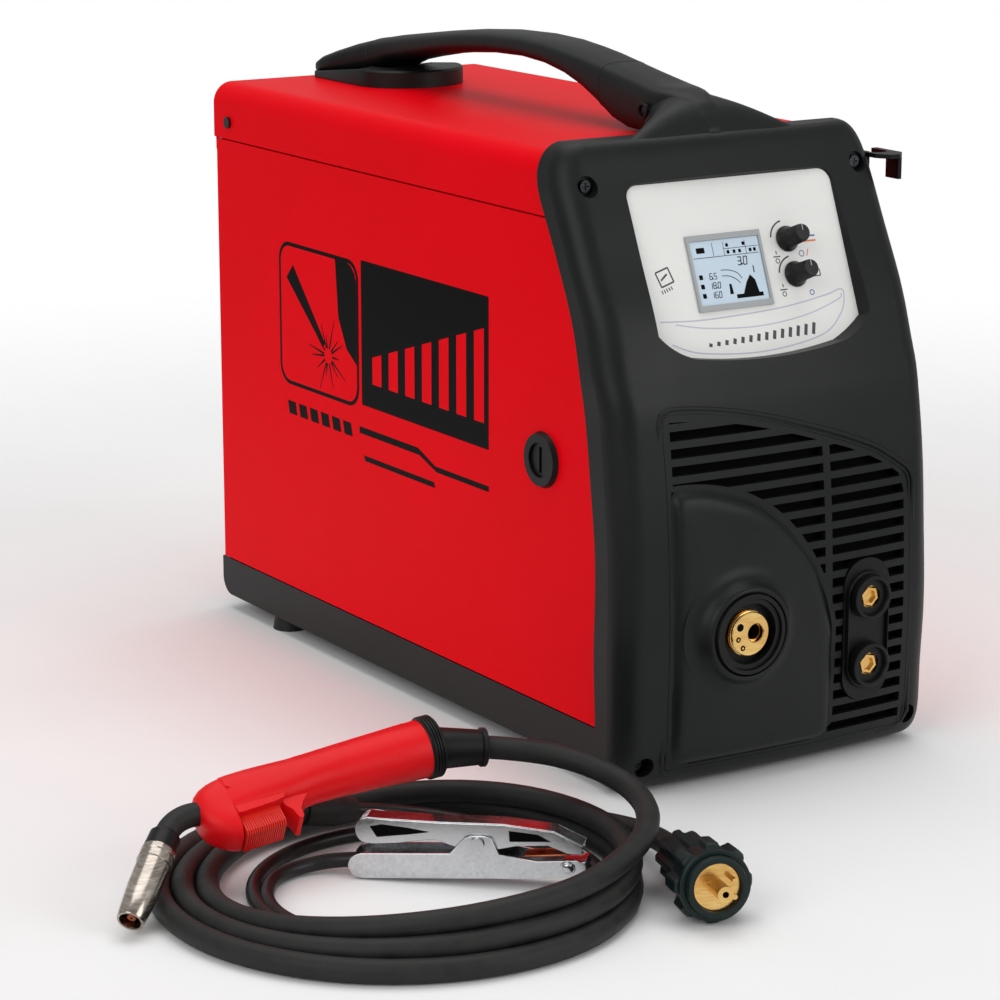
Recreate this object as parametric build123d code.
"""Portable inverter MIG welder with its torch and earth lead.

Millimetres. X points to the right-hand side seen from the front, the front faces -Y, Z is up and
the feet stand on Z = 0. Y = 0 is halfway between the torch socket's face and the mains switch's grip.
X = 0 is the case's middle plane while it is drawn, and everything moves sideways at the end, because
the hook stands out on one side and the origin is the middle of the whole outline.
"""
from build123d import *

import math
import os

# Case
BODY_WIDTH = 254
BEZEL_WIDTH = BODY_WIDTH + 8
REAR_Y = 290
FOOT_HEIGHT = 12
BASE_TOP = 42
SEAM_Z = 381
ROOF_Z = 423
ROOF_BEND = 16
SHEET = 1.5
WALL = 3
GAP = 1.2
HALF = BODY_WIDTH / 2

# Front moulding: height, back edge, front corner line, side inset
BEZEL_CORNER = 20
BEZEL_BOW = 5
BEZEL_STATIONS = (
    (4, -254, -272, 6), (10, -254, -280, 2), (25, -254, -286, 0), (66, -253, -288, 0),
    (144, -253, -288, 0), (190, -249.5, -285, 0), (229, -244, -280.5, 0), (270, -236, -273, 0),
    (305, -227, -261, 0), (337, -214, -247, 0), (370, -197, -230, 0), (396, -183, -217, 0),
    (412, -178, -209, 2), (424, -178, -203, 8), (430, -181, -196, 17),
)

# Screws of the front moulding, and cover and base screws of each side
SCREW_PLACES = ((-112, 403, -221), (112, 403, -221), (-112, 22, -287), (112, 22, -287))
SCREW_WELL = 7
COVER_SCREW = (266, 394)

# Control panel, in its own sloping plane
PANEL_MIDDLE = (0, -239, 340)
PANEL_SLOPE = (0, 0.371, 0.928)
PANEL_HALF_WIDTH = 85
PANEL_TOP = 66
PANEL_CORNER_DROP = -38
PANEL_BOTTOM = -58
PANEL_TOP_CORNER = 10
PANEL_LOW_CORNER = 26
PANEL_DEPTH = 30
PANEL_THICK = 2
DISPLAY_X = -15
DISPLAY_SIZE = (61, 52)
SCREEN_SIZE = (57, 44)
KNOB_PLACES = ((38, 19.4), (39, -5.4))
KNOB_RADIUS = 6.5
KNOB_FLANGE = 9
KNOB_LENGTH = 20
KNOB_SHAFT = 3
RUNNING = 0.06

# Grille and torch plate
GRILLE_TOP = ((-96, 259), (-60, 256.5), (-21, 249), (30, 234), (73, 218), (98, 203))
GRILLE_RIGHT = 107
GRILLE_BOTTOM = 17
GRILLE_RIB_X = 34
SLAT_PITCH = 11.5
SLAT_GAP = 6.5
TORCH_PLATE_CURVE = ((-92, 208), (-60, 205), (-21, 189), (13, 155), (28, 128), (36.6, 98))
TORCH_PLATE_BOTTOM = 20

# Sockets
EURO_X, EURO_Z = -43, 110
EURO_FACE_Y = -310
EURO_BASE = 33
EURO_RING = 27.5
EURO_SLEEVE = 24.5
EURO_BRASS = 15.5
EURO_BORE = 5.5
EURO_BORE_X = 5
PLATE_Y = -289
DINSE_X = 66.5
DINSE_HEIGHTS = (69, 117)
DINSE_RING = 15.5
DINSE_BRASS = 8
DINSE_BORE = 4.5
DINSE_FACE_Y = -298
DINSE_PLATE_Y = -293.5
DINSE_SET_BACK = 3
SURROUND_HALF = 19.5

# Handle: distance along Y, underside, top
HANDLE_WIDTH = 44
HANDLE_STATIONS = (
    (287, 431, 446), (265, 433, 451), (182, 444, 463), (101, 457, 473.5), (18, 463, 477.7),
    (-42, 455, 474), (-80, 443, 470), (-115, 425, 465), (-152, 423.4, 457),
)
# Handle root on the front moulding: distance along Y, half width, top
HUMP_STATIONS = (
    (-154, 26, 456), (-166, 33, 455), (-178, 46, 452), (-188, 62, 446.5), (-196, 78, 438), (-202, 90, 428.5),
)

HOOK_REACH = 20

# Inside
DIVIDER_X = -5
SPOOL_Y, SPOOL_Z = 120, 215
SPOOL_RADIUS = 145
SPOOL_WIDTH = 98
SPOOL_CORE = 52
WOUND_RADIUS = 100
HUB_RADIUS = 25
WIRE_Z = EURO_Z
WIRE_X = EURO_X + EURO_BORE_X
ROLL_Y = -130
DRIVE_ROLL = 15
PRESS_ROLL = 14
ROLL_WIDTH = 12
WIRE_GAP = 1.2
FAN_X, FAN_Z = 62, 250
FAN_SIZE = 120
FAN_BORE = 57
ARM_Y, ARM_Z = -176, 139
SWITCH_X, SWITCH_Z, SWITCH_NECK = 62, 130, 11
SWITCH_GRIP_END = 16.6
GLAND_X, GLAND_Z, GLAND_NECK = 30, 80, 10
GAS_X, GAS_Z, GAS_NECK = 95, 80, 6.5
HINGE_INSET_X, HINGE_INSET_Y = 3, 7
HINGE_PIN = 2.5
LATCH_Y, LATCH_Z = -183, 215
LATCH_RING = 19.5
LATCH_CORE = 11.5
LATCH_LIP_INSET = 5

# Torch lead and earth lead on the floor, about the middle of the coil
COIL_X, COIL_Y = -339, -350
LAY_ANGLE = -32.26
LEAD_DIA = 15
COIL_RADIUS = 142
COIL_TURNS = 3
EARTH_DIA = 9.5
EARTH_RADIUS = 112.5
EARTH_PITCH = 10
EARTH_END = [
    (-66, -61, 4.8), (-81.5, -29, 4.8), (-82, 4.4, 4.9), (-74.1, 21.4, 5.2), (-59.7, 33.5, 6),
    (-41.5, 38.3, 8),
]
TORCH_NOSE = (-122.4, 8.5, 52)
TORCH_REAR = (12.4, 78.5, 68)
TORCH_DOWN = (0.433, -0.712, -0.553)
NOZZLE_START = (-144.4, -27.5, 40)
NOZZLE_TIP = (-159.4, -80.5, 9.5)
PLUG_REAR = (169.7, 26.6, 19)
PLUG_TIP = (195.4, -75.3, 27)
TORCH_LEAD = (
    (51.6, 88.8, 65.5), (86.9, 96, 61), (122.8, 83.6, 54), (147.2, 54.5, 47), (154.5, 17.2, 41),
    (144, -19.3, 38),
)
TORCH_TAIL = (
    (76.2, 126.2, 7.7), (111.9, 113.2, 8), (141.8, 89.8, 10.5), (161.4, 59.6, 15), PLUG_REAR,
)


# ---------------------------------------------------------------- helpers
TORCH_GRIP = 18
TORCH_LENGTH = 152
TRIGGER_PIN = (19, -15)
NECK_RADIUS = 7.5
NECK_RUN = 26
NECK_BEND = 30
SLEEVE_BORE = 7.6

# Earth clamp, in its own upright plane: x from rear to nose, y up
CLAMP_REAR = (-347, -303, 0)
CLAMP_NOSE = (-235, -408, 10)
CLAMP_PIVOT = (84, 23)
CLAMP_WIDTH = 22
CLAMP_SHEET = 2
CLAMP_LEAD_END = (3.5, 9.4, 0)


def block(x0, x1, y0, y1, z0, z1):
    """A box between two corners."""
    return Pos((x0 + x1) / 2, (y0 + y1) / 2, (z0 + z1) / 2) * Box(x1 - x0, y1 - y0, z1 - z0)


def rod(radius, start, end):
    """A round bar between two points."""
    axis = Vector(*end) - Vector(*start)
    place = Plane(origin=start, z_dir=axis)
    return place * Cylinder(radius, axis.length, align=(Align.CENTER, Align.CENTER, Align.MIN))


def taper(radius_start, radius_end, start, end):
    """A round bar whose radius changes from one end to the other."""
    axis = Vector(*end) - Vector(*start)
    place = Plane(origin=start, z_dir=axis)
    return place * Cone(radius_start, radius_end, axis.length,
                        align=(Align.CENTER, Align.CENTER, Align.MIN))


def tube(outer, inner, start, end):
    """A round bar with a hole right through."""
    return rod(outer, start, end) - rod(inner, start, end)


def slab_yz(points, x0, x1):
    """A flat outline in Y and Z, as thick as x0 to x1."""
    return Pos(x0, 0, 0) * extrude(Plane.YZ * make_face(Polyline(points, close=True)), x1 - x0)


def front_plane(y):
    """The plane that faces the front at y, with its own x along X and its own y up."""
    return Plane(origin=(0, y, 0), x_dir=(1, 0, 0), z_dir=(0, -1, 0))


def slab_front(face, y0, y1):
    """A flat outline in X and Z, from y1 forwards to y0."""
    return extrude(front_plane(y1) * face, y1 - y0)


def joined(*pieces):
    """Several separate solids kept in one node."""
    return Compound([solid for piece in pieces for solid in piece.solids()])


# ---------------------------------------------------------------- front moulding
def bezel_section(height, back, front, inset, grow):
    """One level outline of the front moulding, grown outwards by grow."""
    half = BEZEL_WIDTH / 2 - inset + grow
    front = front - grow
    corner = min(BEZEL_CORNER, 0.6 * (back - front))
    cut = corner * (1 - math.sqrt(0.5))
    left = [(-half, back), (-half, front + corner), (-half + cut, front + cut), (-half + corner, front)]
    right = [(-x, y) for x, y in reversed(left)]
    points = [(x, y, height) for x, y in left + [(0, front - BEZEL_BOW)] + right]
    return Wire([
        Edge.make_line(points[0], points[1]),
        Edge.make_three_point_arc(points[1], points[2], points[3]),
        Edge.make_three_point_arc(points[3], points[4], points[5]),
        Edge.make_three_point_arc(points[5], points[6], points[7]),
        Edge.make_line(points[7], points[8]),
        Edge.make_line(points[8], points[0]),
    ])


def bezel_body(grow, back_shift=0, low=0, high=0):
    """The solid shape of the front moulding, grown by grow and shortened at its bottom and top."""
    stations = [(z, back + back_shift, front, inset) for z, back, front, inset in BEZEL_STATIONS]
    z, *rest = stations[0]
    stations[0] = (z + low, *rest)
    z, *rest = stations[-1]
    stations[-1] = (z - high, *rest)
    if high:
        stations.pop(-2)
    return Solid.make_loft([bezel_section(*station, grow) for station in stations])


def front_zone(shift):
    """Everything in front of the back edge of the front moulding, moved back by shift."""
    edge = [(back + shift, z) for z, back, _, _ in BEZEL_STATIONS]
    edge = [(edge[0][0], -20)] + edge + [(edge[-1][0], ROOF_Z + 80)]
    return slab_yz([(-600, -20)] + edge + [(-600, ROOF_Z + 80)], -BODY_WIDTH, BODY_WIDTH)


def panel_plane():
    """The sloping plane of the control panel's face."""
    _, rise_y, rise_z = PANEL_SLOPE
    return Plane(origin=PANEL_MIDDLE, x_dir=(1, 0, 0), z_dir=(0, -rise_z, rise_y))


def panel_outline(grow):
    """The outline of the control panel, grown by grow."""
    half = PANEL_HALF_WIDTH + grow
    low = PANEL_CORNER_DROP
    bottom = PANEL_BOTTOM - grow
    top = PANEL_TOP + grow
    turn = PANEL_TOP_CORNER
    cut = turn * (1 - math.sqrt(0.5))
    corner = PANEL_LOW_CORNER
    side = half - 0.32 * corner
    return make_face(Wire([
        Edge.make_line((half, low), (half, top - turn)),
        Edge.make_three_point_arc((half, top - turn), (half - cut, top - cut), (half - turn, top)),
        Edge.make_line((half - turn, top), (turn - half, top)),
        Edge.make_three_point_arc((turn - half, top), (cut - half, top - cut), (-half, top - turn)),
        Edge.make_line((-half, top - turn), (-half, low)),
        Edge.make_three_point_arc((-half, low), (-side, bottom + 14), (corner - half, bottom + 5)),
        Edge.make_three_point_arc((corner - half, bottom + 5), (0, bottom), (half - corner, bottom + 5)),
        Edge.make_three_point_arc((half - corner, bottom + 5), (side, bottom + 14), (half, low)),
    ]))


def panel_funnel(grow):
    """The hollow in front of the control panel, which widens towards the front."""
    flare = 9
    near = panel_plane() * panel_outline(grow)
    far = panel_plane().offset(PANEL_DEPTH) * panel_outline(grow + flare)
    return loft([near, far])


def grille_outline(grow):
    """The outline of the grille opening, grown by grow."""
    top = [(x, z + grow) for x, z in GRILLE_TOP]
    left = top[0][0] - grow
    top[0] = (left, top[0][1])
    right = GRILLE_RIGHT + grow
    bottom = GRILLE_BOTTOM - grow
    return make_face(Spline(top) + Polyline(top[-1], (right, top[-1][1] - 12), (right, bottom),
                                            (left, bottom), top[0]))


def torch_plate_outline(grow):
    """The outline of the raised plate round the torch socket, grown by grow."""
    curve = [(x + grow, z + grow) for x, z in TORCH_PLATE_CURVE]
    left = curve[0][0] - 2 * grow
    bottom = TORCH_PLATE_BOTTOM - grow
    curve[0] = (left, curve[0][1])
    right = curve[-1][0]
    return make_face(Spline(curve) + Polyline(curve[-1], (right, bottom + 14), (right - 14, bottom),
                                              (left + 14, bottom), (left, bottom + 14), curve[0]))


def dinse_outline(grow):
    """The outline of the plate round the two current sockets."""
    height = DINSE_HEIGHTS[-1] - DINSE_HEIGHTS[0] + 2 * SURROUND_HALF + 14
    middle = (DINSE_HEIGHTS[0] + DINSE_HEIGHTS[-1]) / 2
    return Pos(DINSE_X, middle) * RectangleRounded(2 * (SURROUND_HALF + grow), height + 2 * grow,
                                                   SURROUND_HALF - 1)


def hump(grow):
    """The handle's root on top of the front moulding."""
    faces = []
    for y, half, top in HUMP_STATIONS:
        base = ROOF_Z + 0.4
        rise = top + grow - base
        wide = half + grow
        dome = Spline((-wide, base), (-0.72 * wide, base + 0.72 * rise), (0, base + rise),
                      (0.72 * wide, base + 0.72 * rise), (wide, base))
        faces.append(front_plane(y) * make_face(dome + Line((wide, base), (-wide, base))))
    return loft(faces)


def front_bezel(outer):
    """The charcoal front moulding: shell, control recess, grille opening and screw wells."""
    inner = bezel_body(-WALL, back_shift=6, low=WALL, high=9)
    shell = outer - inner
    wall = (panel_funnel(WALL) - panel_funnel(0)) & outer
    seat = extrude(panel_plane() * panel_outline(WALL), -PANEL_THICK - 0.2)
    shell = shell - panel_funnel(0) - seat
    shell = shell + wall
    shell = shell - slab_front(grille_outline(0.3), -320, -262)
    shell = shell + (hump(0) - hump(-WALL) - block(-200, 200, -300, -100, 0, ROOF_Z + 0.4))
    for x, z, y in SCREW_PLACES:
        boss = rod(SCREW_WELL + WALL, (x, y - 6, z), (x, y + 18, z)) & outer
        shell = shell + boss
        shell = shell - rod(SCREW_WELL, (x, y - 20, z), (x, y + 14, z))
        shell = shell - rod(2.2, (x, y, z), (x, y + 30, z))
    return shell


def front_grille(outer):
    """The clip-in grille with level slats."""
    skin = outer - bezel_body(-5, back_shift=20, low=1, high=2)
    skin = skin & slab_front(grille_outline(0), -320, -262)
    slots = []
    count = int((GRILLE_TOP[0][1] - GRILLE_BOTTOM) / SLAT_PITCH)
    field = slab_front(grille_outline(-5), -330, -250) - slab_front(torch_plate_outline(4), -330, -250)
    for row in range(count):
        z = GRILLE_BOTTOM + 6 + row * SLAT_PITCH
        slots.append(block(-BEZEL_WIDTH, GRILLE_RIB_X - 3, -330, -250, z, z + SLAT_GAP))
        slots.append(block(GRILLE_RIB_X + 3, BEZEL_WIDTH, -330, -250, z, z + SLAT_GAP))
    grille = skin - (Compound(slots) & field)
    for x, z, y in SCREW_PLACES:
        grille = grille - rod(SCREW_WELL + WALL + 0.3, (x, y - 20, z), (x, y + 30, z))
    keep_clear = slab_front(torch_plate_outline(0.5), -330, -250)
    keep_clear = keep_clear + slab_front(dinse_outline(0.5), -330, -250)
    return (grille - keep_clear).solids().sort_by(SortBy.VOLUME)[-1]


def torch_plate(grown):
    """The raised plate that carries the torch socket."""
    plate = slab_front(torch_plate_outline(0), -320, -262) & (grown - bezel_body(-4, 20, 1, 2))
    return plate - rod(EURO_SLEEVE + 0.3, (EURO_X, -330, EURO_Z), (EURO_X, -250, EURO_Z))


def euro_collar(plate):
    """Flared boss, threaded sleeve and insulator of the torch socket."""
    start = (EURO_X, PLATE_Y, EURO_Z)
    face = (EURO_X, EURO_FACE_Y, EURO_Z)
    bore_end = (EURO_X, -255, EURO_Z)
    boss = taper(EURO_BASE, EURO_RING, start, face)
    boss = boss - rod(EURO_SLEEVE + 0.3, start, face) - plate
    sleeve = tube(EURO_SLEEVE, EURO_SLEEVE - 3.5, bore_end, (EURO_X, EURO_FACE_Y + 2, EURO_Z))
    insulator = tube(EURO_SLEEVE - 3.5, EURO_BRASS, bore_end, (EURO_X, EURO_FACE_Y + 9, EURO_Z))
    return joined(boss, sleeve + insulator)


def euro_brass():
    """Brass block of the torch socket with its wire bore and gas and contact holes."""
    block_end = (EURO_X, -246, EURO_Z)
    face = (EURO_X, EURO_FACE_Y + 6, EURO_Z)
    brass = rod(EURO_BRASS, block_end, face)
    bore_x = EURO_X + EURO_BORE_X
    brass = brass - rod(EURO_BORE, (bore_x, -200, EURO_Z), (bore_x, EURO_FACE_Y - 5, EURO_Z))
    for x, z, radius in ((-9, 6, 2.2), (-9, -6, 2.2)):
        brass = brass - rod(radius, (EURO_X + x, EURO_FACE_Y + 16, EURO_Z + z),
                            (EURO_X + x, EURO_FACE_Y - 5, EURO_Z + z))
    return brass


def dinse_surround(outer):
    """Black plate and insulating rings round the current sockets."""
    plate = slab_front(dinse_outline(0), DINSE_PLATE_Y, -279)
    rings = []
    for z in DINSE_HEIGHTS:
        plate = plate - rod(DINSE_RING + 0.05, (DINSE_X, -300, z), (DINSE_X, -250, z))
        rings.append(tube(DINSE_RING, DINSE_BRASS, (DINSE_X, -272, z), (DINSE_X, DINSE_FACE_Y, z)))
    return joined(plate, *rings)


def dinse_brass():
    """Brass current sockets."""
    sockets = []
    for z in DINSE_HEIGHTS:
        body = rod(DINSE_BRASS, (DINSE_X, -258, z), (DINSE_X, DINSE_FACE_Y + DINSE_SET_BACK, z))
        sockets.append(body - rod(DINSE_BORE, (DINSE_X, -266, z), (DINSE_X, DINSE_FACE_Y - 5, z)))
    return joined(*sockets)


# ---------------------------------------------------------------- control panel
def on_panel(x, y, out):
    """A point on the control panel: along it, up it and out of it."""
    return tuple(panel_plane().from_local_coords(Vector(x, y, out)))


def display_place():
    """Where the display sits, in the panel's plane."""
    return panel_plane() * Pos(DISPLAY_X, 2)


def control_panel():
    """The pale panel, with its display window and knob holes."""
    plate = extrude(panel_plane() * panel_outline(WALL - 0.2), -PANEL_THICK)
    plate = plate - display_place() * Pos(0, 0, -1) * Box(*SCREEN_SIZE, 10)
    for x, y in KNOB_PLACES:
        plate = plate - rod(KNOB_SHAFT + 0.5, on_panel(x, y, -10), on_panel(x, y, 10))
    return plate


def display_frame():
    """Raised grey frame round the screen."""
    frame = display_place() * Pos(0, 0, 1) * Box(*DISPLAY_SIZE, 2)
    return frame - display_place() * Box(*SCREEN_SIZE, 10)


def lcd_screen():
    """The screen, let in between the frame and the board."""
    wide, high = SCREEN_SIZE
    return display_place() * Pos(0, 0, -2) * Box(wide - 0.2, high - 0.2, 6)


def knob(x, y):
    """A turning knob with its flange and shaft."""
    cap = rod(KNOB_RADIUS, on_panel(x, y, 3), on_panel(x, y, KNOB_LENGTH))
    flange = taper(KNOB_FLANGE, KNOB_RADIUS, on_panel(x, y, 0.6), on_panel(x, y, 5))
    return cap + flange + rod(KNOB_SHAFT, on_panel(x, y, -12), on_panel(x, y, 3))


def control_board():
    """Circuit board on four posts, with an encoder body for each knob."""
    wide, high = 150, 92
    board = panel_plane() * Pos(0, 8, -14) * Box(wide, high, 1.6)
    for x in (-wide / 2 + 6, wide / 2 - 6):
        for y in (8 - high / 2 + 6, 8 + high / 2 - 6):
            board = board + rod(3, on_panel(x, y, -13.3), on_panel(x, y, -PANEL_THICK))
    for x, y in KNOB_PLACES:
        board = board + panel_plane() * Pos(x, y, -10) * Box(13, 13, 6.6)
        board = board - rod(KNOB_SHAFT + RUNNING, on_panel(x, y, -20), on_panel(x, y, 0))
    carrier = display_place() * Pos(0, 0, -9.2) * Box(SCREEN_SIZE[0] - 6, SCREEN_SIZE[1] - 6, 8.2)
    return board + carrier


# ---------------------------------------------------------------- case
def base_tray():
    """Charcoal tray that everything stands on."""
    front = -250
    tray = block(-HALF, HALF, front, REAR_Y, FOOT_HEIGHT, BASE_TOP)
    tray = fillet(tray.edges().filter_by(Axis.X).group_by(Axis.Z)[0].sort_by(Axis.Y)[-1], 14)
    tray = tray - block(-HALF + WALL, HALF - WALL, front + WALL, REAR_Y - WALL,
                        FOOT_HEIGHT + WALL, BASE_TOP + 1)
    tray = fillet(tray.edges().filter_by(Axis.Z).sort_by(Axis.Y)[-1:], 1)
    for x in (-70, 70):
        for y in (-150, -110, 130, 170):
            tray = tray - block(x - 30, x + 30, y, y + 12, 0, FOOT_HEIGHT + WALL + 1)
    return tray


def rubber_feet():
    """Four rubber feet."""
    places = ((-112, 205), (112, 205), (-105, -225), (105, -225))
    feet = [taper(14, 12, (x, y, 0), (x, y, FOOT_HEIGHT)) for x, y in places]
    return joined(*feet)


def cover_section(shift):
    """Cross-section of the top cover, moved inwards by shift."""
    half = HALF - shift
    top = ROOF_Z - shift
    bend = ROOF_BEND - shift
    low = SEAM_Z - 10
    cut = bend * (1 - math.sqrt(0.5))
    return make_face(Wire([
        Edge.make_line((-half, low), (-half, top - bend)),
        Edge.make_three_point_arc((-half, top - bend), (-half + cut, top - cut), (-half + bend, top)),
        Edge.make_line((-half + bend, top), (half - bend, top)),
        Edge.make_three_point_arc((half - bend, top), (half - cut, top - cut), (half, top - bend)),
        Edge.make_line((half, top - bend), (half, low)),
        Edge.make_line((half, low), (-half, low)),
    ]))


def top_cover():
    """Bent sheet over the top, down to the seam on both sides."""
    cover = slab_front(cover_section(0), -270, REAR_Y) - slab_front(cover_section(SHEET), -280, REAR_Y + 5)
    cover = cover - block(-HALF - 5, HALF + 5, -300, REAR_Y + 5, 0, SEAM_Z)
    cover = cover - front_zone(GAP)
    for x in (-1, 1):
        cover = cover - rod(2.6, (x * (HALF - 6), COVER_SCREW[0], COVER_SCREW[1]),
                            (x * (HALF + 6), COVER_SCREW[0], COVER_SCREW[1]))
    return cover


def right_side_panel():
    """Fixed side sheet with louvre slots."""
    x0, x1 = HALF - SHEET, HALF
    panel = block(x0, x1, -270, REAR_Y, BASE_TOP, SEAM_Z - 0.3) - front_zone(GAP)
    slots = []
    for column in (-150, -70, 120, 200):
        for row in range(10):
            z = 100 + row * 14
            slots.append(block(x0 - 1, x1 + 1, column, column + 60, z, z + 5))
    return panel - Compound(slots)


def rear_panel():
    """Rear sheet with the fan opening, switch, cable and gas holes."""
    y0, y1 = REAR_Y - SHEET, REAR_Y
    plate = slab_front(cover_section(SHEET + 0.1), y0, y1)
    lower = block(-HALF + 2.5, HALF - SHEET - 0.1, y0, y1, BASE_TOP, SEAM_Z - 8)
    plate = plate + lower
    slots = []
    for row in range(-4, 5):
        z = FAN_Z + row * 12
        half = math.sqrt(max(FAN_BORE ** 2 - (row * 12) ** 2, 0)) - 2
        slots.append(block(FAN_X - half, FAN_X + half, y0 - 1, y1 + 1, z - 3.5, z + 3.5))
    plate = plate - Compound(slots)
    plate = plate - rod(SWITCH_NECK, (SWITCH_X, y0 - 1, SWITCH_Z), (SWITCH_X, y1 + 1, SWITCH_Z))
    plate = plate - rod(GLAND_NECK, (GLAND_X, y0 - 1, GLAND_Z), (GLAND_X, y1 + 1, GLAND_Z))
    return plate - rod(GAS_NECK, (GAS_X, y0 - 1, GAS_Z), (GAS_X, y1 + 1, GAS_Z))


def side_door():
    """Left side door: a shallow pan that swings on its rear edge."""
    x0, x1 = -HALF, -HALF + SHEET
    low, high = BASE_TOP + 1, SEAM_Z - GAP
    rear = REAR_Y - 4
    skin = block(x0, x1, -270, rear, low, high) - front_zone(GAP)
    pan = block(x1, x1 + 8, -270, rear, low, high) - front_zone(GAP)
    hollow = block(x1 - 1, x1 + 9, -270, rear - SHEET, low + SHEET, high - SHEET) - front_zone(GAP + SHEET)
    door = skin + (pan - hollow)
    door = door - rod(LATCH_CORE + 0.5, (x0 - 5, LATCH_Y, LATCH_Z), (x1 + 5, LATCH_Y, LATCH_Z))
    hinge_x, hinge_y = hinge_axis()
    for z0, z1 in ((low, low + 14), (high - 14, high)):
        lug = rod(4.2, (hinge_x, hinge_y, z0), (hinge_x, hinge_y, z1)) & block(x0, 0, 0, rear, 0, 999)
        door = door + lug
    return door - rod(HINGE_PIN + RUNNING, (hinge_x, hinge_y, 0), (hinge_x, hinge_y, 500))


def hinge_axis():
    """Where the door's upright hinge axis is."""
    return -HALF + HINGE_INSET_X, REAR_Y - HINGE_INSET_Y


def door_hinges():
    """Two brackets with the pins that the door swings on."""
    x, y = hinge_axis()
    low = block(x - 2.5, x + 30, y - 18, REAR_Y - SHEET, BASE_TOP - 2, BASE_TOP)
    low = low & block(-HALF + WALL, 0, 0, REAR_Y - WALL, 0, 500)
    low = low + rod(HINGE_PIN, (x, y, BASE_TOP - 1), (x, y, BASE_TOP + 12))
    low = low - block(-500, -HALF + WALL, 0, 500, 0, BASE_TOP)
    high = block(x - 1, x + 30, y - 18, REAR_Y - SHEET, SEAM_Z + 1, SEAM_Z + 3)
    high = high + rod(HINGE_PIN - 1, (x, y, SEAM_Z - 13), (x, y, SEAM_Z + 3))
    high = high + rod(HINGE_PIN, (x, y, SEAM_Z - 13), (x, y, SEAM_Z + 0.5))
    return joined(low, high & block(-HALF + SHEET, 0, 0, 500, 0, 500))


def door_latch_ring():
    """Round trim pressed on the door round the turning latch."""
    x = -HALF
    ring = taper(LATCH_RING, LATCH_RING - 1.5, (x, LATCH_Y, LATCH_Z), (x - 4, LATCH_Y, LATCH_Z))
    return ring - rod(LATCH_CORE + 0.4, (x - 5, LATCH_Y, LATCH_Z), (x + 1, LATCH_Y, LATCH_Z))


def door_latch_core():
    """Turning core with a coin slot outside and a locking tongue inside."""
    x = -HALF
    core = rod(LATCH_CORE, (x - 2, LATCH_Y, LATCH_Z), (x + 9, LATCH_Y, LATCH_Z))
    core = core - block(x - 3, x + 0.5, LATCH_Y - 1.6, LATCH_Y + 1.6, LATCH_Z - 9, LATCH_Z + 9)
    tongue = block(x + 9, x + 12, LATCH_Y - 9, LATCH_Y + 9, LATCH_Z - 10, LATCH_Z + 42)
    return core + tongue


# ---------------------------------------------------------------- handle and hook
def carry_handle():
    """Arched handle and the post that holds its rear end."""
    faces = []
    for y, low, high in HANDLE_STATIONS:
        place = Plane(origin=(0, y, (low + high) / 2), x_dir=(1, 0, 0), z_dir=(0, -1, 0))
        corner = min(9, 0.45 * (high - low))
        faces.append(place * RectangleRounded(HANDLE_WIDTH, high - low, corner))
    arch = loft(faces) - block(-200, 200, -300, 400, ROOF_Z - 60, ROOF_Z + 0.1)
    nose = Pos(0, 215) * RectangleRounded(88, 94, 40) + Pos(0, 250) * RectangleRounded(88, 68, 8)
    post = extrude(Plane.XY.offset(ROOF_Z + 0.1) * nose, 24)
    ramp = slab_yz([(150, 400), (300, 400), (300, 429), (262, 431), (182, 442), (150, 440)], -60, 60)
    post = (post & ramp) - arch
    return joined(arch, post.solids().sort_by(SortBy.VOLUME)[-1])


def torch_hook(outer):
    """Plate hook on the right side of the front moulding for hanging the torch."""
    x0, x1 = BEZEL_WIDTH / 2 - 2, BEZEL_WIDTH / 2 + HOOK_REACH
    front, rear, top = -222, -186, 407
    outline = Polyline((x0, front + 10), (x0 + 6, front), (x1 - 8, front), (x1, front + 8), (x1, rear),
                       (x0, rear), close=True)
    plate = extrude(Plane.XY.offset(top - 3) * make_face(outline), 3)
    middle = x0 + 10
    plate = plate - Pos(middle, rear - 15, top) * Cylinder(7, 20)
    plate = plate - block(middle - 7, middle + 7, rear - 15, rear + 1, top - 10, top + 10)
    lip = block(x1 - 3, x1, rear - 28, rear - 14, top - 19, top)
    flange = block(x0, x0 + 4.5, rear - 14, rear, top - 20, top)
    return plate + lip + flange - outer


def case_screws():
    """Front, cover and base screws, alike but for their place."""
    screws = []
    for x, z, y in SCREW_PLACES:
        head = rod(4, (x, y + 14, z), (x, y + 11, z))
        cross = block(x - 0.5, x + 0.5, y + 10, y + 12.5, z - 2.4, z + 2.4)
        cross = cross + block(x - 2.4, x + 2.4, y + 10, y + 12.5, z - 0.5, z + 0.5)
        screws.append(head - cross + rod(2.1, (x, y + 14, z), (x, y + 19, z)))
    for side in (-1, 1):
        y, z = COVER_SCREW
        head = rod(4.5, (side * HALF, y, z), (side * (HALF + 2), y, z))
        screws.append(head + rod(2.5, (side * HALF, y, z), (side * (HALF - 8), y, z)))
    return joined(*screws)


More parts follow.
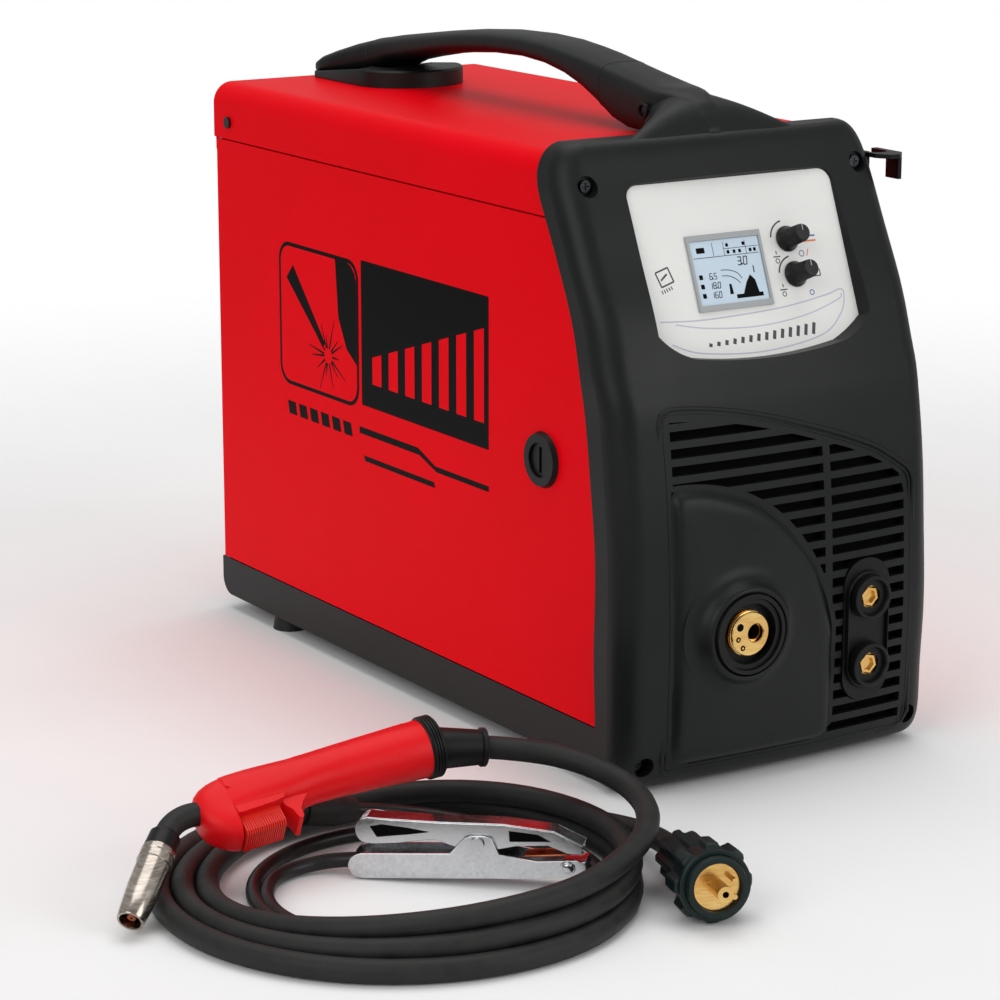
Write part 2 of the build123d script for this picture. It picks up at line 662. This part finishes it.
# ---------------------------------------------------------------- inside
def divider_plate():
    """Upright sheet between the wire side and the power side, and the front sheet of the sockets."""
    upright = block(DIVIDER_X, DIVIDER_X + SHEET, -236, REAR_Y - SHEET - 2, FOOT_HEIGHT + WALL, ROOF_Z - 12)
    upright = upright - front_zone(GAP + 8)
    upright = upright - rod(32, (-50, ROLL_Y, roll_height()), (50, ROLL_Y, roll_height()))
    edge = -HALF + LATCH_LIP_INSET
    bulkhead = block(edge, DIVIDER_X, -240, -238.5, BASE_TOP + 4, 225)
    bulkhead = bulkhead + block(edge, edge + SHEET, -240, -215, 185, 225)
    bulkhead = bulkhead - rod(EURO_BRASS + 0.5, (EURO_X, -250, EURO_Z), (EURO_X, -230, EURO_Z))
    return joined(upright, bulkhead + block(DIVIDER_X - 2, DIVIDER_X, -240, -225, BASE_TOP + 4, 225))


def roll_height():
    """Height of the drive roll's shaft."""
    return WIRE_Z - WIRE_GAP / 2 - DRIVE_ROLL


def feeder_plate():
    """Cast plate of the wire feeder with its inlet and outlet guides."""
    x0, x1 = DIVIDER_X - 12, DIVIDER_X - 4
    plate = block(x0, x1, -222, -62, 62, 152)
    plate = plate - rod(8, (x0 - 1, ROLL_Y, roll_height()), (x1 + 1, ROLL_Y, roll_height()))
    for y in (-215, -70):
        for z in (70, 145):
            plate = plate + rod(4, (x1, y, z), (DIVIDER_X, y, z))
    for y0, y1 in ((-222, ROLL_Y - 24), (ROLL_Y + 24, -62)):
        guide = block(WIRE_X - 7, x0, y0, y1, WIRE_Z - 7, WIRE_Z + 7)
        plate = plate + (guide - rod(1.5, (WIRE_X, y0 - 1, WIRE_Z), (WIRE_X, y1 + 1, WIRE_Z)))
    pivot = rod(3, (x0, ARM_Y, ARM_Z), (x0 - 32, ARM_Y, ARM_Z))
    return plate + pivot


def drive_motor():
    """Gear motor on the power side of the divider."""
    z = roll_height()
    gearbox = block(DIVIDER_X - 4 + 0.2, DIVIDER_X + 26, ROLL_Y - 22, ROLL_Y + 22, z - 22, z + 22)
    can = rod(27, (DIVIDER_X + 26, ROLL_Y, z), (DIVIDER_X + 96, ROLL_Y, z))
    socket = rod(4 + RUNNING, (DIVIDER_X - 10, ROLL_Y, z), (DIVIDER_X + 20, ROLL_Y, z))
    return gearbox + can - socket


def drive_roll():
    """Grooved drive roll on its shaft."""
    z = roll_height()
    roll = rod(DRIVE_ROLL, (WIRE_X - ROLL_WIDTH / 2, ROLL_Y, z), (WIRE_X + ROLL_WIDTH / 2, ROLL_Y, z))
    nut = rod(9, (WIRE_X - ROLL_WIDTH / 2 - 7, ROLL_Y, z), (WIRE_X - ROLL_WIDTH / 2, ROLL_Y, z))
    return roll + nut + rod(4, (WIRE_X, ROLL_Y, z), (DIVIDER_X + 15, ROLL_Y, z))


def press_height():
    """Height of the pressure roll's pin."""
    return WIRE_Z + WIRE_GAP / 2 + PRESS_ROLL


def pressure_roll():
    """Pressure roll, a plain ring on the arm's pin."""
    z = press_height()
    return tube(PRESS_ROLL, 4 + RUNNING, (WIRE_X - 5, ROLL_Y, z), (WIRE_X + 5, ROLL_Y, z))


def pressure_arm():
    """Fork arm that presses the upper roll on the wire."""
    z = press_height()
    arm = block(WIRE_X - 12, WIRE_X - 6, ARM_Y - 8, ROLL_Y + 34, ARM_Z - 7, ARM_Z + 9)
    arm = arm + block(WIRE_X + 6, WIRE_X + 12, ARM_Y - 8, ROLL_Y + 34, ARM_Z - 7, ARM_Z + 9)
    arm = arm + block(WIRE_X - 12, WIRE_X + 12, ROLL_Y + 20, ROLL_Y + 34, ARM_Z - 7, ARM_Z + 9)
    for x in (-12, 6):
        arm = arm + block(WIRE_X + x, WIRE_X + x + 6, ROLL_Y - 8, ROLL_Y + 8, z - 8, ARM_Z)
    arm = arm + rod(4, (WIRE_X - 11, ROLL_Y, z), (WIRE_X + 11, ROLL_Y, z))
    arm = arm - rod(3 + RUNNING, (WIRE_X - 20, ARM_Y, ARM_Z), (WIRE_X + 20, ARM_Y, ARM_Z))
    stud = rod(3, (WIRE_X, ROLL_Y + 27, ARM_Z), (WIRE_X, ROLL_Y + 27, ARM_Z + 42))
    return arm + stud


def tension_knob():
    """Turning knob that sets the pressure."""
    y = ROLL_Y + 27
    knob_body = taper(11, 9, (WIRE_X, y, ARM_Z + 12), (WIRE_X, y, ARM_Z + 40))
    for step in range(8):
        angle = math.radians(45 * step)
        x, dy = 11.4 * math.cos(angle), 11.4 * math.sin(angle)
        knob_body = knob_body - rod(2, (WIRE_X + x, y + dy, ARM_Z + 10), (WIRE_X + x, y + dy, ARM_Z + 42))
    return knob_body - rod(3 + RUNNING, (WIRE_X, y, ARM_Z), (WIRE_X, y, ARM_Z + 60))


def spool_ends():
    """Where the wire spool's two outer faces are."""
    near = DIVIDER_X - 8
    return near - SPOOL_WIDTH, near


def spool_hub():
    """Fixed hub with the brake cap that keeps the spool on."""
    left, right = spool_ends()
    hub = rod(HUB_RADIUS + 6, (DIVIDER_X, SPOOL_Y, SPOOL_Z), (right + 2, SPOOL_Y, SPOOL_Z))
    hub = hub + rod(HUB_RADIUS, (right + 2, SPOOL_Y, SPOOL_Z), (left - 2, SPOOL_Y, SPOOL_Z))
    cap = rod(HUB_RADIUS + 5, (left - 2, SPOOL_Y, SPOOL_Z), (left - 7, SPOOL_Y, SPOOL_Z))
    return hub + cap


def spool_reel():
    """Plastic spool with two spoked flanges."""
    left, right = spool_ends()
    centre = (SPOOL_Y, SPOOL_Z)
    reel = rod(SPOOL_CORE, (left, *centre), (right, *centre))
    for x0 in (left, right - 4):
        flange = rod(SPOOL_RADIUS, (x0, *centre), (x0 + 4, *centre))
        for step in range(6):
            angle = math.radians(60 * step)
            y = SPOOL_Y + 75 * math.cos(angle)
            z = SPOOL_Z + 75 * math.sin(angle)
            flange = flange - rod(18, (x0 - 1, y, z), (x0 + 5, y, z))
        reel = reel + flange
    reel = reel - tube(44, HUB_RADIUS + 6, (left - 1, *centre), (right - 10, *centre))
    return reel - rod(HUB_RADIUS + 0.1, (left - 1, *centre), (right + 1, *centre))


def wire_winding():
    """The wound welding wire, as one ring."""
    left, right = spool_ends()
    return tube(WOUND_RADIUS, SPOOL_CORE, (left + 4, SPOOL_Y, SPOOL_Z), (right - 4, SPOOL_Y, SPOOL_Z))


def power_board():
    """Main board with three capacitors."""
    z = 62
    board = block(18, 118, -195, 150, z, z + 2)
    for x in (26, 110):
        for y in (-185, 140):
            board = board + rod(4, (x, y, FOOT_HEIGHT + WALL), (x, y, z))
    for step in range(3):
        board = board + rod(17, (98, -60 + 42 * step, z + 2), (98, -60 + 42 * step, z + 48))
    return board


def heatsinks():
    """Two finned blocks on the board."""
    sinks = []
    for y in (-20, 70):
        sink = block(20, 74, y, y + 70, 64, 72)
        for fin in range(7):
            x = 20 + fin * 8.5
            sink = sink + block(x, x + 3, y, y + 70, 72, 120)
        sinks.append(sink)
    return joined(*sinks)


def transformer():
    """Main transformer: core and winding."""
    core = block(30, 92, 178, 240, 62, 142) - block(40, 82, 170, 250, 84, 120)
    feet = block(30, 92, 178, 240, FOOT_HEIGHT + WALL, 62)
    winding = block(46, 76, 172, 246, 88, 116)
    return core + feet + block(52, 70, 180, 238, 84, 120) + winding


def fan_frame():
    """Square fan frame with its spider and pin."""
    y0, y1 = REAR_Y - SHEET - 38, REAR_Y - SHEET
    half = FAN_SIZE / 2
    frame = block(FAN_X - half, FAN_X + half, y0, y1, FAN_Z - half, FAN_Z + half)
    frame = frame - rod(FAN_BORE, (FAN_X, y0 - 1, FAN_Z), (FAN_X, y1 + 1, FAN_Z))
    bars = block(FAN_X - half, FAN_X + half, y0, y0 + 3, FAN_Z - 4, FAN_Z + 4)
    bars = bars + block(FAN_X - 4, FAN_X + 4, y0, y0 + 3, FAN_Z - half, FAN_Z + half)
    bars = bars + rod(18, (FAN_X, y0, FAN_Z), (FAN_X, y0 + 4, FAN_Z))
    return frame + bars + rod(3, (FAN_X, y0, FAN_Z), (FAN_X, y1 - 8, FAN_Z))


def fan_rotor():
    """Fan hub with seven pitched blades."""
    y0, y1 = REAR_Y - SHEET - 33, REAR_Y - SHEET - 6
    rotor = rod(19, (FAN_X, y0, FAN_Z), (FAN_X, y1, FAN_Z))
    for step in range(7):
        blade = Pos(36, 0, 0) * Rot(38, 0, 0) * Box(38, 1.8, 30)
        turn = Pos(FAN_X, (y0 + y1) / 2, FAN_Z) * Rot(0, 360 / 7 * step, 0)
        rotor = rotor + turn * blade
    rotor = rotor & rod(FAN_BORE - 2, (FAN_X, y0, FAN_Z), (FAN_X, y1, FAN_Z))
    return rotor - rod(3 + RUNNING, (FAN_X, y0 - 5, FAN_Z), (FAN_X, y1 + 5, FAN_Z))


def gas_valve():
    """Gas inlet nipple with the solenoid valve behind it."""
    y = REAR_Y
    nipple = rod(GAS_NECK - 0.3, (GAS_X, y - 6, GAS_Z), (GAS_X, y + 6, GAS_Z))
    nipple = nipple + taper(5, 3.6, (GAS_X, y + 6, GAS_Z), (GAS_X, y + 20, GAS_Z))
    body = block(GAS_X - 14, GAS_X + 14, y - 34, y - 6, GAS_Z - 12, GAS_Z + 12)
    coil = rod(11, (GAS_X, y - 20, GAS_Z + 12), (GAS_X, y - 20, GAS_Z + 40))
    bore = rod(2, (GAS_X, y - 20, GAS_Z), (GAS_X, y + 21, GAS_Z))
    return nipple + body + coil - bore


def switch_base():
    """Fixed part of the rotary mains switch."""
    y = REAR_Y
    plate = block(SWITCH_X - 24, SWITCH_X + 24, y, y + 3, SWITCH_Z - 24, SWITCH_Z + 24)
    body = rod(SWITCH_NECK - 0.3, (SWITCH_X, y - 4, SWITCH_Z), (SWITCH_X, y, SWITCH_Z))
    body = body + block(SWITCH_X - 22, SWITCH_X + 22, y - 34, y - 4, SWITCH_Z - 22, SWITCH_Z + 22)
    return plate + body - rod(4 + RUNNING, (SWITCH_X, y - 20, SWITCH_Z), (SWITCH_X, y + 5, SWITCH_Z))


def switch_knob():
    """Turning grip of the mains switch."""
    y = REAR_Y + 3.4
    disc = rod(18, (SWITCH_X, y, SWITCH_Z), (SWITCH_X, y + 6, SWITCH_Z))
    grip = block(SWITCH_X - 4.5, SWITCH_X + 4.5, y + 6, y + SWITCH_GRIP_END, SWITCH_Z - 17, SWITCH_Z + 17)
    return disc + grip + rod(4, (SWITCH_X, y - 18, SWITCH_Z), (SWITCH_X, y, SWITCH_Z))


def mains_gland():
    """Cable gland for the mains lead, which is left out."""
    y = REAR_Y
    neck = rod(GLAND_NECK - 0.3, (GLAND_X, y - 8, GLAND_Z), (GLAND_X, y, GLAND_Z))
    nut = extrude(Plane(origin=(GLAND_X, y, GLAND_Z), z_dir=(0, 1, 0)) * RegularPolygon(14, 6), 10)
    dome = taper(12, 8, (GLAND_X, y + 10, GLAND_Z), (GLAND_X, y + 20, GLAND_Z))
    locknut = rod(14, (GLAND_X, y - 8, GLAND_Z), (GLAND_X, y - 4, GLAND_Z))
    return neck + nut + dome + locknut - rod(5, (GLAND_X, y - 20, GLAND_Z), (GLAND_X, y + 25, GLAND_Z))


# ---------------------------------------------------------------- torch and earth lead
def lay(right, back, height):
    """A point near the coil: to the right of its middle, behind it and above the floor."""
    angle = math.radians(LAY_ANGLE)
    x = COIL_X + right * math.cos(angle) - back * math.sin(angle)
    y = COIL_Y + right * math.sin(angle) + back * math.cos(angle)
    return x, y, height


def lay_direction(right, back, up):
    """A direction given to the right, backwards and upwards."""
    x, y, z = lay(right, back, up)
    return Vector(x - COIL_X, y - COIL_Y, z).normalized()


def swept_tube(points, diameter, name):
    """A tube of straight runs and the largest arcs that they leave room for."""
    places = [Vector(*point) for point in points]
    runs = [after - before for before, after in zip(places, places[1:])]
    room = [0.45 * run.length for run in runs]
    room[0], room[-1] = 2 * room[0], 2 * room[-1]
    radii = []
    for before, after, near, far in zip(runs, runs[1:], room, room[1:]):
        half_turn = math.radians(before.get_angle(after)) / 2
        radii.append(min(near, far) / math.tan(half_turn))
    print(name, "radii", [round(radius) for radius in radii])
    path = FilletPolyline(*places, radius=radii)
    start = Plane(origin=places[0], z_dir=places[1] - places[0])
    solid = sweep(start * Circle(diameter / 2), path=path)
    share = solid.volume / (path.length * math.pi * diameter ** 2 / 4)
    print(name, "length", round(path.length), "volume share", round(share, 4))
    return solid


def torch_lead():
    """Torch lead from the grip to the coil."""
    return swept_tube([lay(*point) for point in TORCH_LEAD], LEAD_DIA, "torch_lead")


def torch_tail():
    """Torch lead from the coil to its plug."""
    return swept_tube([lay(*point) for point in TORCH_TAIL], LEAD_DIA, "torch_tail")


def torch_coil():
    """Three turns of the torch lead: beside each other at the left, on each other at the right."""
    coil = None
    right = lay_direction(1, 0, 0)
    for turn in range(COIL_TURNS):
        shift = turn * LEAD_DIA / 2
        centre = lay(shift, 0, LEAD_DIA / 2 + 0.1 + shift)
        tilt = math.radians(90) - math.atan2(shift, COIL_RADIUS)
        lean = Vector(0, 0, 1) * math.sin(tilt) - right * math.cos(tilt)
        ring = Plane(origin=centre, z_dir=lean) * Torus(COIL_RADIUS - shift, LEAD_DIA / 2)
        coil = ring if coil is None else coil + ring
    return coil


def torch_frame():
    """The torch grip's own plane: x from nose to rear, y up and away from the trigger."""
    nose = Vector(*lay(*TORCH_NOSE))
    along = Vector(*lay(*TORCH_REAR)) - nose
    down = lay_direction(*TORCH_DOWN)
    return Plane(origin=nose, x_dir=along, z_dir=along.cross(down * -1))


def in_torch(x, y, z=0):
    """A point in the torch grip's plane."""
    return tuple(torch_frame().from_local_coords(Vector(x, y, z)))


def torch_handle(neck):
    """Red grip shell with its trigger pocket, pin and rear ring."""
    head = [(62, 16), (20, 15), (4, 10), (-5, 3), (-6, -18), (4, -31), (13, -33), (13, -20),
            (46, -17), (50, -31), (54, -31), (58, -20), (62, -17)]
    side = extrude(torch_frame() * Pos(0, 0, -15) * make_face(Polyline(head, close=True)), 30)
    along = Plane(origin=in_torch(-10, 0), z_dir=Vector(*in_torch(1, 0)) - Vector(*in_torch(0, 0)),
                  x_dir=Vector(*in_torch(0, 1)) - Vector(*in_torch(0, 0)))
    rounding = extrude(along * Pos(-8, 0) * RectangleRounded(52, 30, 12), 80)
    grip = loft([along.offset(70) * Ellipse(16.5, 15), along.offset(110) * Ellipse(TORCH_GRIP, 16),
                 along.offset(TORCH_LENGTH + 10) * Ellipse(TORCH_GRIP + 1, TORCH_GRIP)])
    body = (side & rounding) + grip
    pocket = torch_frame() * Pos(30.5, -25, 0) * Box(32, 30, 21)
    pin = rod(1.5, in_torch(*TRIGGER_PIN, -12), in_torch(*TRIGGER_PIN, 12))
    return body - pocket + pin - neck


def torch_trigger():
    """Ribbed trigger that turns on its front pin."""
    outline = [(16, -12), (22, -12), (25, -17), (43, -15.5), (44.5, -29), (43, -32), (16, -34)]
    trigger = extrude(torch_frame() * Pos(0, 0, -10) * make_face(Polyline(outline, close=True)), 20)
    return trigger - rod(1.5 + RUNNING, in_torch(*TRIGGER_PIN, -20), in_torch(*TRIGGER_PIN, 20))


def torch_neck():
    """Bent neck of the torch, straight out of the grip and straight into the nozzle."""
    places = (in_torch(11, -7), nozzle_point(-NECK_RUN), nozzle_point(4))
    first, corner, last = [Vector(*point) for point in places]
    path = FilletPolyline(first, corner, last, radius=NECK_BEND)
    return sweep(Plane(origin=first, z_dir=corner - first) * Circle(NECK_RADIUS), path=path)


def nozzle_point(distance):
    """A point along the gas nozzle, from its rear end."""
    start = Vector(*lay(*NOZZLE_START))
    return tuple(start + (Vector(*lay(*NOZZLE_TIP)) - start).normalized() * distance)


def gas_nozzle():
    """Insulating ring, tapered gas nozzle and the contact tip inside it."""
    insulator = tube(9.8, NECK_RADIUS, nozzle_point(-8), nozzle_point(3.9))
    waist, mouth = nozzle_point(34), nozzle_point(59)
    sleeve = tube(10.5, SLEEVE_BORE, nozzle_point(4), waist)
    cone = taper(10.5, 8.2, waist, mouth) - taper(SLEEVE_BORE, 6.6, waist, mouth)
    tip = taper(4, 3, nozzle_point(4), nozzle_point(57))
    return joined(insulator, sleeve + cone, tip)


def cable_boot():
    """Rear ring of the grip and the sleeve over the lead."""
    start = Vector(*in_torch(TORCH_LENGTH, 0))
    along = (start - Vector(*in_torch(0, 0))).normalized()
    ring_end = start + along * 8
    lead_start = Vector(*lay(*TORCH_LEAD[0]))
    ring = rod(20.5, tuple(start), tuple(ring_end))
    sleeve = taper(13.5, 11.5, tuple(ring_end - along * 2), tuple(lead_start))
    lip = rod(12.3, tuple(lead_start - (lead_start - ring_end).normalized() * 3), tuple(lead_start))
    return ring + sleeve + lip


def plug_point(distance):
    """A point along the torch plug, from its lead end."""
    rear, tip = Vector(*lay(*PLUG_REAR)), Vector(*lay(*PLUG_TIP))
    return tuple(rear + (tip - rear).normalized() * distance)


def plug_body():
    """Ribbed housing of the torch plug."""
    body = taper(9, 16.5, plug_point(0), plug_point(14)) + rod(16.5, plug_point(14), plug_point(58))
    for step in range(5):
        body = body + rod(17.2, plug_point(18 + step * 6), plug_point(21 + step * 6))
    front = rod(19.5, plug_point(58), plug_point(90)) - rod(14.5, plug_point(76), plug_point(91))
    return body + front


def plug_nut():
    """Lobed ring nut that turns on the plug."""
    nut = taper(23.5, 25.5, plug_point(60), plug_point(66)) + rod(25.5, plug_point(66), plug_point(84))
    nut = nut - rod(19.5 + 0.3, plug_point(50), plug_point(99))
    plane = Plane(origin=plug_point(64), z_dir=Vector(*plug_point(1)) - Vector(*plug_point(0)))
    for step in range(10):
        angle = math.radians(36 * step)
        notch = plane * Pos(27 * math.cos(angle), 27 * math.sin(angle), 12) * Cylinder(3, 40)
        nut = nut - notch
    return nut


def plug_core():
    """Brass face of the plug with its wire pin and two contacts."""
    core = rod(14.5, plug_point(76), plug_point(86))
    core = core + rod(5, plug_point(86), plug_point(104)) - rod(2, plug_point(80), plug_point(106))
    plane = Plane(origin=plug_point(86), z_dir=Vector(*plug_point(1)) - Vector(*plug_point(0)))
    for x, y in ((-9, 5), (-9, -5)):
        core = core + plane * Pos(x, y, 4) * Cylinder(1.6, 8)
    return core


def clamp_frame():
    """The earth clamp's upright plane."""
    rear, nose = Vector(*CLAMP_REAR), Vector(*CLAMP_NOSE)
    along = nose - rear
    side = Vector(along.Y, -along.X, 0)
    return Plane(origin=rear, x_dir=along, z_dir=side)


def clamp_slab(points, z0, z1):
    """A flat outline in the clamp's plane, from z0 to z1 across it."""
    return extrude(clamp_frame() * Pos(0, 0, z0) * make_face(Polyline(points, close=True)), z1 - z0)


def clamp_bar(radius, x, y, z0, z1):
    """A round pin across the clamp."""
    frame = clamp_frame()
    return rod(radius, tuple(frame.from_local_coords(Vector(x, y, z0))),
               tuple(frame.from_local_coords(Vector(x, y, z1))))


def clamp_lower():
    """Lower jaw: a folded channel with ears for the pivot."""
    half = CLAMP_WIDTH / 2
    outline = [
        (0, 6), (6, 0.3), (120, 0.3), (146, 2), (152, 8), (146, 13), (120, 12), (96, 17), (92, 28), (76, 28),
        (66, 17), (6, 17), (0, 11),
    ]
    body = clamp_slab(outline, -half, half)
    inner = [(-5, 2.5), (118, 2.5), (136, 4), (136, 40), (-5, 40)]
    body = body - clamp_slab(inner, -half + CLAMP_SHEET, half - CLAMP_SHEET)
    return body - clamp_bar(3 + RUNNING, *CLAMP_PIVOT, -50, 50)


def clamp_upper():
    """Upper jaw: a lever narrower than the lower jaw, pivoting inside its ears."""
    half = CLAMP_WIDTH / 2 - CLAMP_SHEET - 0.5
    outline = [
        (6, 28), (10, 22.5), (24, 21.5), (56, 25), (76, 18), (92, 18), (108, 21), (128, 21), (140, 15.5),
        (149, 15.5), (150, 22), (132, 30), (100, 35), (60, 36), (14, 40), (7, 36),
    ]
    body = clamp_slab(outline, -half, half)
    inner = [
        (14, 24.5), (24, 23.5), (56, 28), (76, 10), (92, 10), (108, 10), (126, 10), (126, 30), (100, 33),
        (60, 33.5), (16, 37),
    ]
    body = body - clamp_slab(inner, -half + CLAMP_SHEET, half - CLAMP_SHEET)
    return body - clamp_bar(3 + RUNNING, *CLAMP_PIVOT, -50, 50)


def clamp_pin():
    """Pivot pin, cable bolt and copper strap of the clamp."""
    half = CLAMP_WIDTH / 2
    pin = clamp_bar(3, *CLAMP_PIVOT, -half - 0.5, half + 0.5)
    for side in (-1, 1):
        ends = sorted((side * (half + 0.1), side * (half + 2)))
        pin = pin + clamp_bar(4.5, *CLAMP_PIVOT, *ends)
    strap = clamp_slab([(4, 2.6), (60, 2.6), (60, 4.4), (4, 4.4)], -6, 6)
    return joined(pin, strap)


def earth_route():
    """Points of the earth lead: two turns on the floor inside the torch coil, then into the clamp."""
    points = [(-33, 92, 22), (-2, 112, 15)]
    corner = math.cos(math.radians(22.5))
    radius = EARTH_RADIUS / (0.5 + 0.5 * corner)
    shift = LEAD_DIA
    height = EARTH_DIA / 2 + 0.05
    for step in range(13):
        angle = math.radians(60 - 45 * step)
        reach = radius - EARTH_PITCH * step / 8
        points.append((shift + reach * math.cos(angle), reach * math.sin(angle), height))
    points += EARTH_END
    return [lay(*point) for point in points]


def earth_lead():
    """Earth lead on the floor."""
    inside_clamp = tuple(clamp_frame().from_local_coords(Vector(*CLAMP_LEAD_END)))
    return swept_tube(earth_route() + [inside_clamp], EARTH_DIA, "earth_lead")


def earth_plug():
    """Insulated plug of the earth lead with its brass pin."""
    rear = Vector(*earth_route()[0])
    along = (rear - Vector(*earth_route()[1])).normalized()
    sleeve = taper(8, 10.5, tuple(rear), tuple(rear + along * 16))
    sleeve = sleeve + rod(10.5, tuple(rear + along * 16), tuple(rear + along * 38))
    collar = rod(8.5, tuple(rear + along * 38), tuple(rear + along * 42))
    return sleeve + collar + rod(4.4, tuple(rear + along * 42), tuple(rear + along * 56))


# ---------------------------------------------------------------- the whole
def build():
    """Every sub-part by its name, about the machine's middle plane."""
    outer = bezel_body(0)
    plate = torch_plate(bezel_body(1.5))
    neck = torch_neck()
    return {
        "base_tray": base_tray(),
        "rubber_feet": rubber_feet(),
        "top_cover": top_cover(),
        "right_side_panel": right_side_panel(),
        "rear_panel": rear_panel(),
        "front_bezel": front_bezel(outer),
        "front_grille": front_grille(outer),
        "torch_plate": plate,
        "euro_collar": euro_collar(plate),
        "euro_brass": euro_brass(),
        "dinse_surround": dinse_surround(outer),
        "dinse_brass": dinse_brass(),
        "control_panel": control_panel(),
        "display_frame": display_frame(),
        "lcd_screen": lcd_screen(),
        "control_board": control_board(),
        "knob_upper": knob(*KNOB_PLACES[0]),
        "knob_lower": knob(*KNOB_PLACES[1]),
        "case_screws": case_screws(),
        "carry_handle": carry_handle(),
        "torch_hook": torch_hook(outer),
        "side_door": side_door(),
        "door_hinges": door_hinges(),
        "door_latch_ring": door_latch_ring(),
        "door_latch_core": door_latch_core(),
        "divider_plate": divider_plate(),
        "feeder_plate": feeder_plate(),
        "drive_motor": drive_motor(),
        "drive_roll": drive_roll(),
        "pressure_arm": pressure_arm(),
        "pressure_roll": pressure_roll(),
        "tension_knob": tension_knob(),
        "spool_hub": spool_hub(),
        "spool_reel": spool_reel(),
        "wire_winding": wire_winding(),
        "power_board": power_board(),
        "heatsinks": heatsinks(),
        "transformer": transformer(),
        "fan_frame": fan_frame(),
        "fan_rotor": fan_rotor(),
        "gas_valve": gas_valve(),
        "switch_base": switch_base(),
        "switch_knob": switch_knob(),
        "mains_gland": mains_gland(),
        "torch_handle": torch_handle(neck),
        "torch_trigger": torch_trigger(),
        "torch_neck": neck,
        "gas_nozzle": gas_nozzle(),
        "cable_boot": cable_boot(),
        "torch_lead": torch_lead(),
        "torch_coil": torch_coil(),
        "torch_tail": torch_tail(),
        "plug_body": plug_body(),
        "plug_nut": plug_nut(),
        "plug_core": plug_core(),
        "clamp_lower": clamp_lower(),
        "clamp_upper": clamp_upper(),
        "clamp_pin": clamp_pin(),
        "earth_lead": earth_lead(),
        "earth_plug": earth_plug(),
    }


LOOSE = (
    "torch_handle", "torch_trigger", "torch_neck", "gas_nozzle", "cable_boot", "torch_lead", "torch_coil",
    "torch_tail", "plug_body", "plug_nut", "plug_core", "clamp_lower", "clamp_upper", "clamp_pin",
    "earth_lead", "earth_plug",
)


def middle_shift(parts):
    """How far the whole moves along X so that the middle of the machine's outline is the origin."""
    boxes = [part.bounding_box() for name, part in parts.items() if name not in LOOSE]
    return -(min(box.min.X for box in boxes) + max(box.max.X for box in boxes)) / 2


def main():
    """Write one STEP file for each sub-part."""
    parts = build()
    shift = middle_shift(parts)
    print("shift", round(shift, 3))
    os.makedirs("parts", exist_ok=True)
    for name, part in parts.items():
        export_step(Pos(shift, 0, 0) * part, f"parts/{name}.step")


if __name__ == "__main__":
    main()
